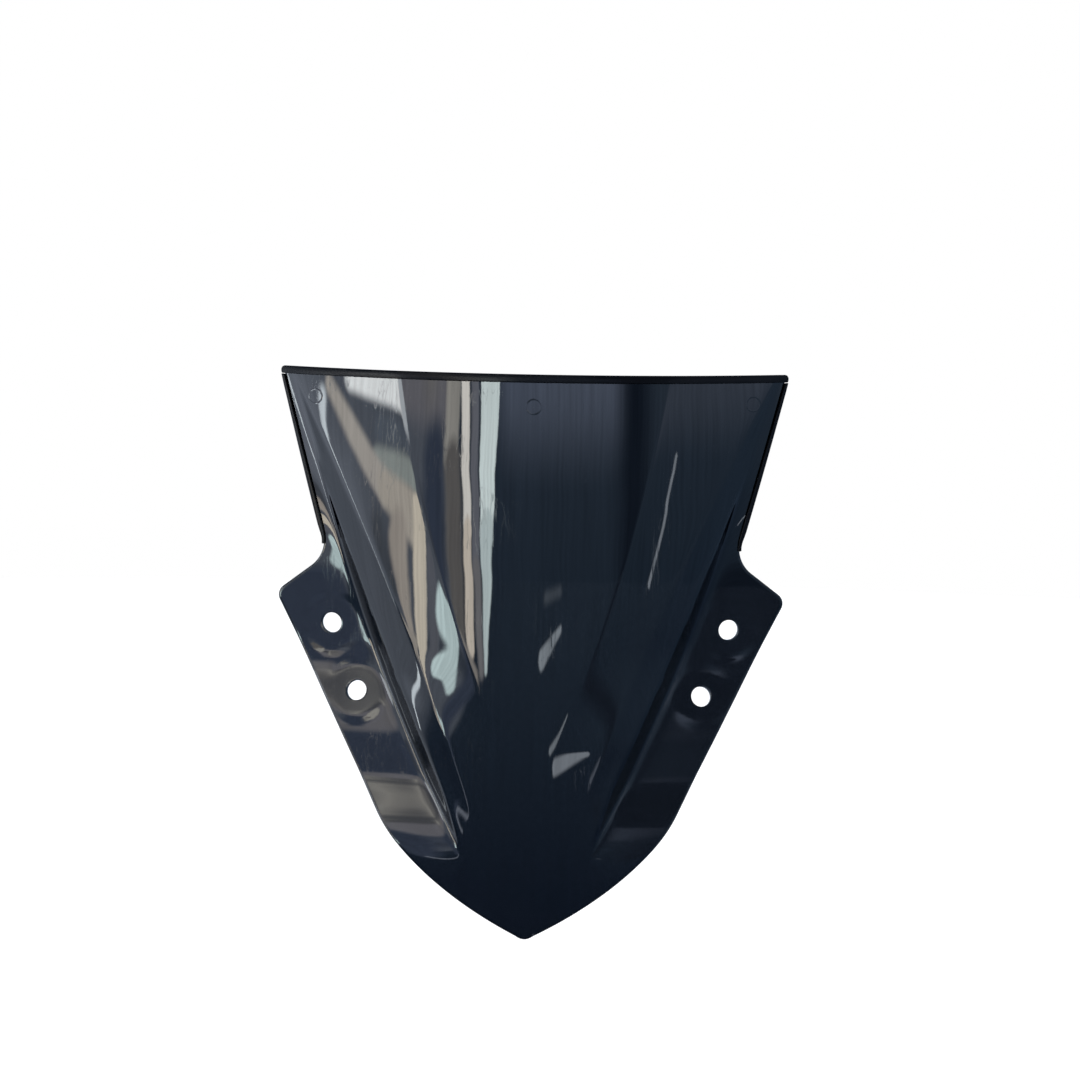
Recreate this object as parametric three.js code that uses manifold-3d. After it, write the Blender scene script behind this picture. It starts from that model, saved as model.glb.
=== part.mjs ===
// Motorcycle windshield screen: one moulded polycarbonate panel with three lengths of push-on
// edge trim. Millimetres, +Z up, +X to the right, the rider sits on the +Y side.
// The origin is the centre of the four fixing holes, on the level of their front seats.
import * as THREE from "three";
import { mergeVertices } from "three/addons/utils/BufferGeometryUtils.js";
import Module from "manifold-3d";

const wasm = await Module();
wasm.setup();

// ---- Driving dimensions -------------------------------------------------------------------
// "drop" is the distance below the highest point of the screen, "x" the distance off its centre.
const HOLE_DROP = 182.65; // middle of the fixing pattern
const HOLE_DEPTH = 49.4; // how far the fixing seats stand behind the nose of the bubble, on average
const FIXINGS = [
  { x: 125.2, drop: 162.0 },
  { x: 108.4, drop: 203.3 },
];
const HOLE_DIAMETER = 12.8;
const SEAT_FLAT_RADIUS = 15; // the moulding is truly flat out to here round each hole
const SEAT_BLEND_RADIUS = 21; // and back on its curve from here
const WALL = 3; // thickness of the moulding

const BELLY_DROP = 177; // the most forward point of the centre line
const VERTICAL_RADIUS = 1200; // bow of the centre line
const LATERAL_RADIUS = 250; // bow across the screen
const INNER_CREASE_SLOPE = 0.15;
const OUTER_CREASE_SLOPE = 0.35;
const RISER_SLOPE = 1.5; // step between the bubble and the wings
const RISER_WIDTH = 8;
const WING_SLOPE_LOW = 0.22; // the wings are straight in section
const WING_SLOPE_TOP = 0.63;
const CREASE_ROUNDING = 1.3;

// Crease lines, as distance off centre: at the top, and how they lean and bow below it.
const INNER_CREASE = { atTop: 85, lean: -0.165, bow: -0.00056 };
const OUTER_CREASE = { atTop: 155, lean: -0.55, bow: 0.0004 };
const RISER_LINE = { atTop: 155.5, lean: -0.33, bow: -0.00027 };
const RISER_TURN = { drop: 263, lean: 0.19, rounding: 12 }; // the riser runs steeper below here

// Stretches of drop over which features come in or die out.
const WING_TURNS = { from: 40, to: 140 };
const INNER_ENDS = { from: 170, to: 235 };
const OUTER_ENDS = { from: 215, to: 290 };
const RISER_OPENS = { from: 45, to: 200 };
const RISER_NARROWS = { from: 250, to: 306 };
const RISER_ENDS = { from: 285, to: 315 };

const TRIM_GAP = 0.3; // air between a trim and the moulding
const TRIM_WALL = 1.2;
const TRIM_PROUD = TRIM_GAP + TRIM_WALL;
const TOP_TRIM_COVER = 3.6; // how far the trims reach in over the moulding
const SIDE_TRIM_COVER_TOP = 0.7;
const SIDE_TRIM_COVER_LOW = 1.7;
const TRIM_BUTT_GAP = 0.3; // between the top trim and each side trim
const SIDE_TRIM_END_DROP = 112;

const EJECTOR_DIAMETER = 9;
const EJECTOR_DEPTH = 0.25;
const EJECTORS = [
  { x: 0, drop: 22.5 },
  { x: 137.5, drop: 19.5 },
  { x: -137.5, drop: 19.5 },
];

const ROWS = 42;
const CURVE_STEPS = 6;
const HOLE_SIDES = 28;
const CUTTER_LENGTH = 40;
const PRISM_DEPTH = 220;

// ---- Outline of the moulding, right half, as corners joined by fillets --------------------
const TOP_DROP = 2.2; // upper edge of the moulding at its corners
const TOP_BOW = 2.0; // how much the upper edge hangs at the centre
const CORNER = { x: 160.0, radius: 1.8 };
const NOTCH = { x: 128.3, drop: 117.9, radius: 20 };
const EAR = { x: 161.8, drop: 143.4, radius: 7 };
const HIP = { x: 94.2, drop: 275.5 };
const TIP = { drop: 353.4, radius: 6 };
const HIP_PULL = 28; // lengths of the two handles of the chin curve
const TIP_PULL = 52;
const CORNER_LEAD = 4; // the upper edge's curve stops this many corner radii before the corner
const TIP_ANGLE = THREE.MathUtils.degToRad(27); // below horizontal, where the sides meet

// ---- Small helpers ------------------------------------------------------------------------
const smooth = (low, high, value) => THREE.MathUtils.smoothstep(value, low, high);
const opening = (stretch, drop) => smooth(stretch.from, stretch.to, drop);
const ending = (stretch, drop) => 1 - opening(stretch, drop);
const ramp = (distance, rounding) => (distance + Math.hypot(distance, rounding)) / 2;
const zOf = (drop) => HOLE_DROP - drop;

function solidOf(geometry) {
  const bare = geometry.clone();
  bare.deleteAttribute("normal");
  bare.deleteAttribute("uv");
  const merged = mergeVertices(bare, 1e-4);
  return new wasm.Manifold(
    new wasm.Mesh({
      numProp: 3,
      vertProperties: new Float32Array(merged.attributes.position.array),
      triVerts: new Uint32Array(merged.index.array),
    }),
  );
}

function meshOf(name, solid, material) {
  const { vertProperties, triVerts } = solid.getMesh();
  const geometry = new THREE.BufferGeometry();
  geometry.setAttribute("position", new THREE.BufferAttribute(vertProperties, 3));
  geometry.setIndex(new THREE.BufferAttribute(triVerts, 1));
  geometry.computeVertexNormals();
  const mesh = new THREE.Mesh(geometry, material);
  mesh.name = name;
  return mesh;
}

// ---- Front face --------------------------------------------------------------------------
const lineAt = (line, drop) => line.atTop + line.lean * drop + line.bow * drop * drop;
const innerCrease = (drop) => lineAt(INNER_CREASE, drop);
const outerCrease = (drop) => lineAt(OUTER_CREASE, drop);

function riserTop(drop) {
  const turn = RISER_TURN.lean * ramp(drop - RISER_TURN.drop, RISER_TURN.rounding);
  return lineAt(RISER_LINE, drop) + turn;
}

function riserWidth(drop) {
  return RISER_WIDTH * opening(RISER_OPENS, drop) * ending(RISER_NARROWS, drop);
}

// Depth of the front face behind the nose, before the fixing seats are flattened.
function curvedDepth(x, drop) {
  const off = Math.abs(x);
  const inner = INNER_CREASE_SLOPE * ending(INNER_ENDS, drop);
  const outer = OUTER_CREASE_SLOPE * ending(OUTER_ENDS, drop);
  const top = riserTop(drop);
  const foot = top + riserWidth(drop);
  const wing = THREE.MathUtils.lerp(WING_SLOPE_LOW, WING_SLOPE_TOP, ending(WING_TURNS, drop));
  const slopeAtFoot = foot / LATERAL_RADIUS + inner + outer;
  const pastFoot = ramp(off - foot, CREASE_ROUNDING);
  const riser =
    RISER_SLOPE * ramp(off - top, CREASE_ROUNDING) -
    (RISER_SLOPE + slopeAtFoot - wing) * pastFoot -
    pastFoot ** 2 / (2 * LATERAL_RADIUS);
  return (
    (drop - BELLY_DROP) ** 2 / (2 * VERTICAL_RADIUS) +
    off ** 2 / (2 * LATERAL_RADIUS) +
    inner * ramp(off - innerCrease(drop), CREASE_ROUNDING) +
    outer * ramp(off - outerCrease(drop), CREASE_ROUNDING) +
    riser * ending(RISER_ENDS, drop)
  );
}

function gradient(depth, x, drop) {
  const step = 0.25;
  return {
    x: (depth(x + step, drop) - depth(x - step, drop)) / (2 * step),
    drop: (depth(x, drop + step) - depth(x, drop - step)) / (2 * step),
  };
}

const seatPlanes = FIXINGS.map((fixing) => ({
  ...fixing,
  depth: curvedDepth(fixing.x, fixing.drop),
  slope: gradient(curvedDepth, fixing.x, fixing.drop),
}));

// Depth of the finished front face, with a flat seat round each fixing hole.
function faceDepth(x, drop) {
  const off = Math.abs(x);
  let depth = curvedDepth(off, drop);
  for (const seat of seatPlanes) {
    const away = Math.hypot(off - seat.x, drop - seat.drop);
    const flat = seat.depth + seat.slope.x * (off - seat.x) + seat.slope.drop * (drop - seat.drop);
    depth += (flat - depth) * (1 - smooth(SEAT_FLAT_RADIUS, SEAT_BLEND_RADIUS, away));
  }
  return depth;
}

// Unit normal of the front face that points back, towards the rider.
function backNormal(x, drop) {
  const slope = gradient(faceDepth, x, drop);
  return new THREE.Vector3(-slope.x, 1, slope.drop).normalize();
}

// A point of the moulding: planform place, and distance behind the front face.
function facePoint(x, drop, behind) {
  const point = new THREE.Vector3(x, faceDepth(x, drop) - HOLE_DEPTH, zOf(drop));
  return point.addScaledVector(backNormal(x, drop), behind);
}

// ---- Curved sheet of any thickness, larger than the outline all round ----------------------
const BAYS = [4, 5, 2, 2, 6]; // grid columns between the centre, the creases and the rim
const HALF_COLUMNS = BAYS.reduce((sum, bay) => sum + bay, 0);
const TOP_MARGIN = 4;
const LOW_MARGIN = 5;
const RIM_REACH = 172; // the grid's half width, and its taper below the ears
const RIM_TAPER = { drop: 150, lean: 0.5 };
const INNER_BAY_SHARE = 0.25; // least share of the bubble's half width inside each crease
const OUTER_BAY_SHARE = 0.62;
const LEAST_RISER_BAY = 0.8;

function columnX(column, drop) {
  const level = Math.max(drop, 0);
  const top = riserTop(level);
  const lines = [
    0,
    Math.max(innerCrease(level), top * INNER_BAY_SHARE),
    Math.max(outerCrease(level), top * OUTER_BAY_SHARE),
    top,
    top + Math.max(riserWidth(level), LEAST_RISER_BAY),
    RIM_REACH - RIM_TAPER.lean * Math.max(level - RIM_TAPER.drop, 0),
  ];
  let left = Math.abs(column);
  let bay = 0;
  while (left > BAYS[bay]) {
    left -= BAYS[bay];
    bay += 1;
  }
  const x = THREE.MathUtils.lerp(lines[bay], lines[bay + 1], left / BAYS[bay]);
  return Math.sign(column) * x;
}

function curvedSheet(frontOffset, backOffset) {
  const sheet = new THREE.BoxGeometry(2 * HALF_COLUMNS, 1, ROWS, 2 * HALF_COLUMNS, 1, ROWS);
  const place = sheet.attributes.position;
  const rowHeight = (TIP.drop + TOP_MARGIN + LOW_MARGIN) / ROWS;
  for (let i = 0; i < place.count; i += 1) {
    const drop = (ROWS / 2 - place.getZ(i)) * rowHeight - TOP_MARGIN;
    const x = columnX(Math.round(place.getX(i)), drop);
    const point = facePoint(x, drop, place.getY(i) < 0 ? frontOffset : backOffset);
    place.setXYZ(i, point.x, point.y, point.z);
  }
  return solidOf(sheet);
}

// ---- Planform shapes ----------------------------------------------------------------------
// Runs the path on to a rounded corner and leaves it at the end of the rounding.
function turnCorner(path, corner, next, radius) {
  const toBack = path.currentPoint.clone().sub(corner).normalize();
  const toNext = next.clone().sub(corner).normalize();
  const half = Math.acos(toBack.dot(toNext)) / 2;
  const start = corner.clone().addScaledVector(toBack, radius / Math.tan(half));
  const end = corner.clone().addScaledVector(toNext, radius / Math.tan(half));
  const middle = toBack.clone().add(toNext).normalize();
  const centre = corner.clone().addScaledVector(middle, radius / Math.sin(half));
  const from = start.clone().sub(centre).angle();
  const to = end.clone().sub(centre).angle();
  path.lineTo(start.x, start.y);
  path.absarc(centre.x, centre.y, radius, from, to, toBack.cross(toNext) > 0);
}

// The moulding's outline. "grow" moves the trimmed edges, from the top to the notch, outwards.
function outline(grow) {
  const lean = (CORNER.x - NOTCH.x) / (NOTCH.drop - TOP_DROP);
  const sideShift = grow * Math.hypot(1, lean);
  const earLean = (EAR.x - NOTCH.x) / (EAR.drop - NOTCH.drop);
  const notchRise = sideShift / (lean + earLean);
  const top = TOP_DROP - grow;
  const corner = new THREE.Vector2(CORNER.x + sideShift + lean * grow, zOf(top));
  const notch = new THREE.Vector2(
    NOTCH.x + notchRise * earLean,
    zOf(NOTCH.drop + notchRise),
  );
  const ear = new THREE.Vector2(EAR.x, zOf(EAR.drop));
  const hip = new THREE.Vector2(HIP.x, zOf(HIP.drop));
  const tip = new THREE.Vector2(0, zOf(TIP.drop + TIP.radius * (1 / Math.cos(TIP_ANGLE) - 1)));
  const crown = new THREE.Vector2(0, zOf(top + TOP_BOW));

  const half = new THREE.Path();
  const along = hip.clone().sub(ear).normalize();
  half.moveTo(crown.x, crown.y);
  const cornerRadius = CORNER.radius + grow;
  const bowHandle = new THREE.Vector2(corner.x / 2, crown.y);
  const nearCorner = corner.clone().lerp(bowHandle, (CORNER_LEAD * cornerRadius) / corner.x);
  half.quadraticCurveTo(bowHandle.x, bowHandle.y, nearCorner.x, nearCorner.y);
  turnCorner(half, corner, notch, cornerRadius);
  turnCorner(half, notch, ear, NOTCH.radius - grow);
  turnCorner(half, ear, hip, EAR.radius);
  half.lineTo(hip.x, hip.y);
  const tipEdge = new THREE.Vector2(
    TIP.radius * Math.sin(TIP_ANGLE),
    tip.y + (TIP.radius * Math.sin(TIP_ANGLE)) * Math.tan(TIP_ANGLE),
  );
  half.bezierCurveTo(
    hip.x + along.x * HIP_PULL,
    hip.y + along.y * HIP_PULL,
    tipEdge.x + Math.cos(TIP_ANGLE) * TIP_PULL,
    tipEdge.y + Math.sin(TIP_ANGLE) * TIP_PULL,
    tipEdge.x,
    tipEdge.y,
  );
  half.absarc(0, zOf(TIP.drop) + TIP.radius, TIP.radius, TIP_ANGLE - Math.PI / 2, -Math.PI / 2, true);
  const right = half.getPoints(CURVE_STEPS);
  const left = right
    .slice(1, -1)
    .reverse()
    .map((point) => new THREE.Vector2(-point.x, point.y));
  return new THREE.Shape([...right, ...left]);
}

// A planform shape as a solid that runs from in front of the screen to behind it.
function prism(shape) {
  const block = new THREE.ExtrudeGeometry(shape, {
    depth: PRISM_DEPTH,
    bevelEnabled: false,
    curveSegments: CURVE_STEPS,
  });
  block.rotateX(Math.PI / 2);
  block.translate(0, PRISM_DEPTH / 2, 0);
  return solidOf(block);
}

function strip(corners) {
  return prism(new THREE.Shape(corners.map(([x, drop]) => new THREE.Vector2(x, zOf(drop)))));
}

// ---- Moulding -----------------------------------------------------------------------------
// A round cutter square to the moulding, its middle a stated distance behind the front face.
function roundCutter(x, drop, diameter, length, behind) {
  const cutter = new THREE.CylinderGeometry(diameter / 2, diameter / 2, length, HOLE_SIDES);
  const normal = backNormal(x, drop);
  const turn = new THREE.Quaternion().setFromUnitVectors(new THREE.Vector3(0, 1, 0), normal);
  cutter.applyQuaternion(turn);
  const place = facePoint(x, drop, behind);
  cutter.translate(place.x, place.y, place.z);
  return solidOf(cutter);
}

function screenPanel() {
  let panel = curvedSheet(0, WALL).intersect(prism(outline(0)));
  for (const { x, drop } of FIXINGS) {
    for (const side of [-1, 1]) {
      panel = panel.subtract(roundCutter(side * x, drop, HOLE_DIAMETER, CUTTER_LENGTH, WALL / 2));
    }
  }
  for (const { x, drop } of EJECTORS) {
    const middle = WALL - EJECTOR_DEPTH + WALL / 2;
    panel = panel.subtract(roundCutter(x, drop, EJECTOR_DIAMETER, WALL, middle));
  }
  return panel;
}

// ---- Edge trims: a U-section that grips the edge of the moulding ----------------------------
function trimStock() {
  const bar = curvedSheet(-TRIM_PROUD, WALL + TRIM_PROUD).intersect(prism(outline(TRIM_PROUD)));
  const groove = curvedSheet(-TRIM_GAP, WALL + TRIM_GAP).intersect(prism(outline(TRIM_GAP)));
  return bar.subtract(groove);
}

function trimRegions() {
  const lean = (CORNER.x - NOTCH.x) / (NOTCH.drop - TOP_DROP);
  const sideX = (drop, cover) => CORNER.x - lean * (drop - TOP_DROP) - cover * Math.hypot(1, lean);
  const outside = RIM_REACH;
  const seam = TOP_DROP + TOP_TRIM_COVER;
  const topTrim = new THREE.Shape();
  topTrim.moveTo(-outside, zOf(seam));
  topTrim.lineTo(-CORNER.x, zOf(seam));
  topTrim.quadraticCurveTo(0, zOf(seam + 2 * TOP_BOW), CORNER.x, zOf(seam));
  topTrim.lineTo(outside, zOf(seam));
  topTrim.lineTo(outside, zOf(-TOP_MARGIN));
  topTrim.lineTo(-outside, zOf(-TOP_MARGIN));
  const sideStart = seam + TRIM_BUTT_GAP;
  const sideTrim = (side) =>
    strip([
      [side * sideX(sideStart, SIDE_TRIM_COVER_TOP), sideStart],
      [side * outside, sideStart],
      [side * outside, SIDE_TRIM_END_DROP],
      [side * sideX(SIDE_TRIM_END_DROP, SIDE_TRIM_COVER_LOW), SIDE_TRIM_END_DROP],
    ]);
  return { top: prism(topTrim), left: sideTrim(-1), right: sideTrim(1) };
}

// ---- Assembly -----------------------------------------------------------------------------
const smoked = () =>
  new THREE.MeshStandardMaterial({ color: 0x141a22, roughness: 0.08, metalness: 0 });
const blackTrim = () =>
  new THREE.MeshStandardMaterial({ color: 0x050609, roughness: 0.3, metalness: 0 });

const group = new THREE.Group();
const stock = trimStock();
const regions = trimRegions();
group.add(meshOf("screen_panel", screenPanel(), smoked()));
group.add(meshOf("top_edge_trim", stock.intersect(regions.top), blackTrim()));
group.add(meshOf("left_edge_trim", stock.intersect(regions.left), blackTrim()));
group.add(meshOf("right_edge_trim", stock.intersect(regions.right), blackTrim()));

export default group;
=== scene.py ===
"""Motorcycle windshield screen: a smoked polycarbonate moulding with push-on edge trims.

The moulding is built as a flat blank, cut, drilled and given a rounded rim, and then formed
over the same crowned and creased surface that the CAD model uses. Lengths in the shape code are
millimetres; "drop" is the distance below the top of the screen. The scene is in metres.
"""
import math

import bmesh
import bpy
import numpy as np
from mathutils import Matrix, Vector


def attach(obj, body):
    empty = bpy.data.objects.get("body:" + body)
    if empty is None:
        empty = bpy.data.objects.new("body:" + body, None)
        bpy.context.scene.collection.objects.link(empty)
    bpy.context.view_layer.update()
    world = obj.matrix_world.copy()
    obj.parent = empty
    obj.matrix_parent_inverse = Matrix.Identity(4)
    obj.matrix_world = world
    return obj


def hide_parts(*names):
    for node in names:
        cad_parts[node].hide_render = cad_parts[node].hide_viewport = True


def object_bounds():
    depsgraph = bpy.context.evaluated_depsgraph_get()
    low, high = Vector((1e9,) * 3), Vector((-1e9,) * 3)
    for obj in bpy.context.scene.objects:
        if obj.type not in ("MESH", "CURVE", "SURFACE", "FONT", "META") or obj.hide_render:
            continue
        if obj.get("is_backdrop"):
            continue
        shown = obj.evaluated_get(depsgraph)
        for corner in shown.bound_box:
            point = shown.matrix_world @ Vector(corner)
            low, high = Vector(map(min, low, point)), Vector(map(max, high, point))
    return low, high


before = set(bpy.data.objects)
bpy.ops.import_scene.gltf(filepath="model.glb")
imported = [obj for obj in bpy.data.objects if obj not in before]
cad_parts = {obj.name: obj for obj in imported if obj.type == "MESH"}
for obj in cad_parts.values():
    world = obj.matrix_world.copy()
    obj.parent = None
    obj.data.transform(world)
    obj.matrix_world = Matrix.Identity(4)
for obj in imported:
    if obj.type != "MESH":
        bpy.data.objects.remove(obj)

CAD_LOW, CAD_HIGH = (Vector(corner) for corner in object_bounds())
MM = 0.001

# ---- Shape of the moulding, as in the CAD model ----------------------------------------------
HOLE_DROP = 182.65
HOLE_DEPTH = 49.4
FIXINGS = ((125.2, 162.0), (108.4, 203.3))
HOLE_RADIUS = 6.4
SEAT_FLAT_RADIUS = 15.0
SEAT_BLEND_RADIUS = 21.0
WALL = 3.0
BELLY_DROP = 177.0
VERTICAL_RADIUS = 1200.0
LATERAL_RADIUS = 250.0
INNER_CREASE_SLOPE = 0.15
OUTER_CREASE_SLOPE = 0.35
RISER_SLOPE = 1.5
RISER_WIDTH = 8.0
WING_SLOPE_LOW = 0.22
WING_SLOPE_TOP = 0.63
CREASE_ROUNDING = 1.3
FOOT_ROUNDING = 1.6
# Lines down the right-hand half: the distance out at the top, the lean and the bow
INNER_CREASE = (85.0, -0.165, -0.00056)
OUTER_CREASE = (155.0, -0.55, 0.0004)
RISER_LINE = (155.5, -0.33, -0.00027)
# The riser's line leans out again towards the chin: from this drop, by this much, this softly
RISER_TURN_DROP = 263.0
RISER_TURN_LEAN = 0.19
RISER_TURN_ROUNDING = 12.0
# Spans of drop over which a feature changes
WING_TURNS = (40.0, 140.0)
RISER_OPENS = (45.0, 200.0)
INNER_ENDS = (170.0, 235.0)
OUTER_ENDS = (215.0, 290.0)
RISER_NARROWS = (250.0, 306.0)
RISER_ENDS = (285.0, 315.0)

TOP_DROP = 2.2
TOP_BOW = 2.0
CORNER_X = 160.0
CORNER_RADIUS = 1.8
NOTCH = Vector((128.3, 117.9))
EAR = Vector((161.8, 143.4))
HIP = Vector((94.2, 275.5))
NOTCH_RADIUS = 20.0
EAR_RADIUS = 7.0
TIP_DROP = 353.4
TIP_RADIUS = 6.0
TIP_ANGLE = math.radians(27)
HIP_PULL = 28.0
TIP_PULL = 52.0
HIP_STEPS = 60
TIP_STEPS = 12

# ---- Edge finish, marks and trims ------------------------------------------------------------
BOX_MARGIN = 0.01  # keeps the formed skin inside the CAD model's box
RIM_INSET = 2.0  # the blank's grid stops this far inside the outline
RIM_SUPPORT = 0.8  # flat margin between the grid and the rounded rim
RIM_STEPS = 8
HOLE_SUPPORT = 0.7  # flat margin round a hole
HOLE_EDGE = 0.35  # radius of its lightly broken edges
HOLE_EDGE_STEPS = 3
HOLE_PATCH = 9.6  # the blank is opened this far round a hole's middle
EJECTORS = ((0.0, 22.5), (137.5, 19.5), (-137.5, 19.5))
EJECTOR_RADIUS = 4.5
EJECTOR_DEPTH = 0.25
EJECTOR_LAND = 0.3
EJECTOR_WALL = 0.05
EJECTOR_FLOOR = 0.45
EJECTOR_PATCH = 7.0
SHEET_TOLERANCE = 0.1

TRIM_GAP = 0.3
TRIM_WALL = 1.2
TRIM_PROUD = TRIM_GAP + TRIM_WALL
TOP_TRIM_COVER = 3.6
TOP_TRIM_REACH = 0.75  # past the corners of the moulding
TOP_TRIM_CUT = 0.14
SIDE_TRIM_COVER_TOP = 0.7
SIDE_TRIM_COVER_LOW = 1.7
TRIM_BUTT_GAP = 0.3
SIDE_TRIM_END_DROP = 112.0
SIDE_TRIM_TAIL = 14.0  # the side trims thin out over this length above their lower ends
SQUARE_RUN = 6.0  # below its level upper end, a side trim's section turns square to the edge
TAIL_THINNING = 0.4
TAIL_CUT = 0.25
TRIM_ROUNDING = 1.0
LIP_ROUNDING = 0.35
SLOT_CLOSED = 0.02  # what is left of the slot where a trim is solid
SIDE_TRIM_ENDS = ((0.0, 0.3), (0.12, 0.12), (0.35, 0.0))  # distances from an end and shrinks
END_CLEARANCE = 1.0  # the even stations of a side trim start this far from its ends
SIDE_TRIM_STEPS = 60
TOP_TRIM_HALF_STEPS = 50
TRIM_CORNER_STEPS = 9
TRIM_CORNER_SHRINK = 0.3
TRIM_CORNER_CLEARANCE = 0.5
EDGE_STEP = 0.5  # for the direction of the side edge


def smooth(low, high, value):
    t = np.clip((value - low) / (high - low), 0.0, 1.0)
    return t * t * (3.0 - 2.0 * t)


def ramp(distance, rounding):
    return (distance + np.hypot(distance, rounding)) / 2.0


def ending(span, drop):
    """1 above a span of drop, fading to 0 below it."""
    return 1.0 - smooth(*span, drop)


def line_at(line, drop):
    at_top, lean, bow = line
    return at_top + lean * drop + bow * drop * drop


def riser_top(drop):
    turn = RISER_TURN_LEAN * ramp(drop - RISER_TURN_DROP, RISER_TURN_ROUNDING)
    return line_at(RISER_LINE, drop) + turn


def riser_width(drop):
    return RISER_WIDTH * smooth(*RISER_OPENS, drop) * ending(RISER_NARROWS, drop)


def curved_depth(x, drop):
    """Depth of the front face behind the nose, before the fixing seats are flattened."""
    off = np.abs(x)
    inner = INNER_CREASE_SLOPE * ending(INNER_ENDS, drop)
    outer = OUTER_CREASE_SLOPE * ending(OUTER_ENDS, drop)
    top = riser_top(drop)
    foot = top + riser_width(drop)
    wing = WING_SLOPE_LOW + (WING_SLOPE_TOP - WING_SLOPE_LOW) * ending(WING_TURNS, drop)
    slope_at_foot = foot / LATERAL_RADIUS + inner + outer
    past_foot = ramp(off - foot, FOOT_ROUNDING)
    riser = (
        RISER_SLOPE * ramp(off - top, CREASE_ROUNDING)
        - (RISER_SLOPE + slope_at_foot - wing) * past_foot
        - past_foot**2 / (2.0 * LATERAL_RADIUS)
    )
    return (
        (drop - BELLY_DROP) ** 2 / (2.0 * VERTICAL_RADIUS)
        + off**2 / (2.0 * LATERAL_RADIUS)
        + inner * ramp(off - line_at(INNER_CREASE, drop), CREASE_ROUNDING)
        + outer * ramp(off - line_at(OUTER_CREASE, drop), CREASE_ROUNDING)
        + riser * ending(RISER_ENDS, drop)
    )


def gradient(depth, x, drop, step=0.1):
    across = (depth(x + step, drop) - depth(x - step, drop)) / (2.0 * step)
    down = (depth(x, drop + step) - depth(x, drop - step)) / (2.0 * step)
    return across, down


SEATS = [(x, drop, curved_depth(x, drop), *gradient(curved_depth, x, drop)) for x, drop in FIXINGS]


def face_depth(x, drop):
    """Depth of the finished front face, flat round each fixing hole."""
    off = np.abs(x)
    depth = curved_depth(off, drop)
    for seat_x, seat_drop, seat_depth, across, down in SEATS:
        away = np.hypot(off - seat_x, drop - seat_drop)
        flat = seat_depth + across * (off - seat_x) + down * (drop - seat_drop)
        depth = depth + (flat - depth) * (1.0 - smooth(SEAT_FLAT_RADIUS, SEAT_BLEND_RADIUS, away))
    return depth


def form(bm):
    """Forms a flat blank, whose X is across, Y the distance behind the face and -Z the drop."""
    flat = np.array([v.co for v in bm.verts])
    x, behind, drop = flat[:, 0], flat[:, 1], -flat[:, 2]
    across, down = gradient(face_depth, x, drop)
    length = np.sqrt(1.0 + across**2 + down**2)
    shaped = np.column_stack(
        (
            x - across / length * behind,
            face_depth(x, drop) - HOLE_DEPTH + BOX_MARGIN + behind / length,
            HOLE_DROP - drop + down / length * behind,
        )
    )
    for vert, co in zip(bm.verts, shaped * MM):
        vert.co = co


# ---- Outline of the moulding -----------------------------------------------------------------
def inward(direction):
    """The side of a line running down the right-hand edge that the material is on."""
    return Vector((-direction.y, direction.x)).normalized()


def meet(point_a, dir_a, point_b, dir_b):
    """The point where two lines cross."""
    between = point_b - point_a
    scale = (between.x * dir_b.y - between.y * dir_b.x) / (dir_a.x * dir_b.y - dir_a.y * dir_b.x)
    return point_a + dir_a * scale


def fillet(before, corner, after, radius, steps=24):
    """Points of the arc that rounds a corner."""
    to_before = (before - corner).normalized()
    to_after = (after - corner).normalized()
    half = to_before.angle(to_after) / 2.0
    centre = corner + (to_before + to_after).normalized() * (radius / math.sin(half))
    start = corner + to_before * (radius / math.tan(half)) - centre
    end = corner + to_after * (radius / math.tan(half)) - centre
    return [centre + start.slerp(end, i / steps) * radius for i in range(steps + 1)]


def edge_points(inset):
    """The right-hand edge from the top corner to the tip, moved in by the inset."""
    corner = Vector((CORNER_X, TOP_DROP))
    side, ear_top, lower = NOTCH - corner, EAR - NOTCH, HIP - EAR
    start = corner + inward(side) * inset
    notch = meet(start, side, NOTCH + inward(ear_top) * inset, ear_top)
    ear = meet(notch, ear_top, EAR + inward(lower) * inset, lower)
    hip = HIP + inward(lower) * inset
    tip_run = Vector((-math.cos(TIP_ANGLE), math.sin(TIP_ANGLE)))
    sharp = Vector((0.0, TIP_DROP + TIP_RADIUS * (1.0 / math.cos(TIP_ANGLE) - 1.0)))
    end = sharp - tip_run * (TIP_RADIUS * math.tan(TIP_ANGLE)) + inward(tip_run) * inset
    along = lower.normalized()
    points = [start]
    points += fillet(start, notch, ear, NOTCH_RADIUS + inset)
    points += fillet(notch, ear, hip, EAR_RADIUS - inset)
    for i in range(HIP_STEPS + 1):
        t = i / HIP_STEPS
        points.append(
            hip * (1 - t) ** 3
            + (hip + along * HIP_PULL) * 3 * t * (1 - t) ** 2
            + (end - tip_run * TIP_PULL) * 3 * t * t * (1 - t)
            + end * t**3
        )
    centre = Vector((0.0, TIP_DROP - TIP_RADIUS))
    for i in range(1, TIP_STEPS + 1):
        angle = TIP_ANGLE * (1.0 - i / TIP_STEPS)
        arm = Vector((math.sin(angle), math.cos(angle)))
        points.append(centre + arm * (TIP_RADIUS - inset))
    return np.array(points)


def edge_x(points, drop):
    return np.interp(drop, points[:, 1], points[:, 0])


def top_edge(x, inset=0.0):
    return TOP_DROP + inset + TOP_BOW * (1.0 - (x / CORNER_X) ** 2)


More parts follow.
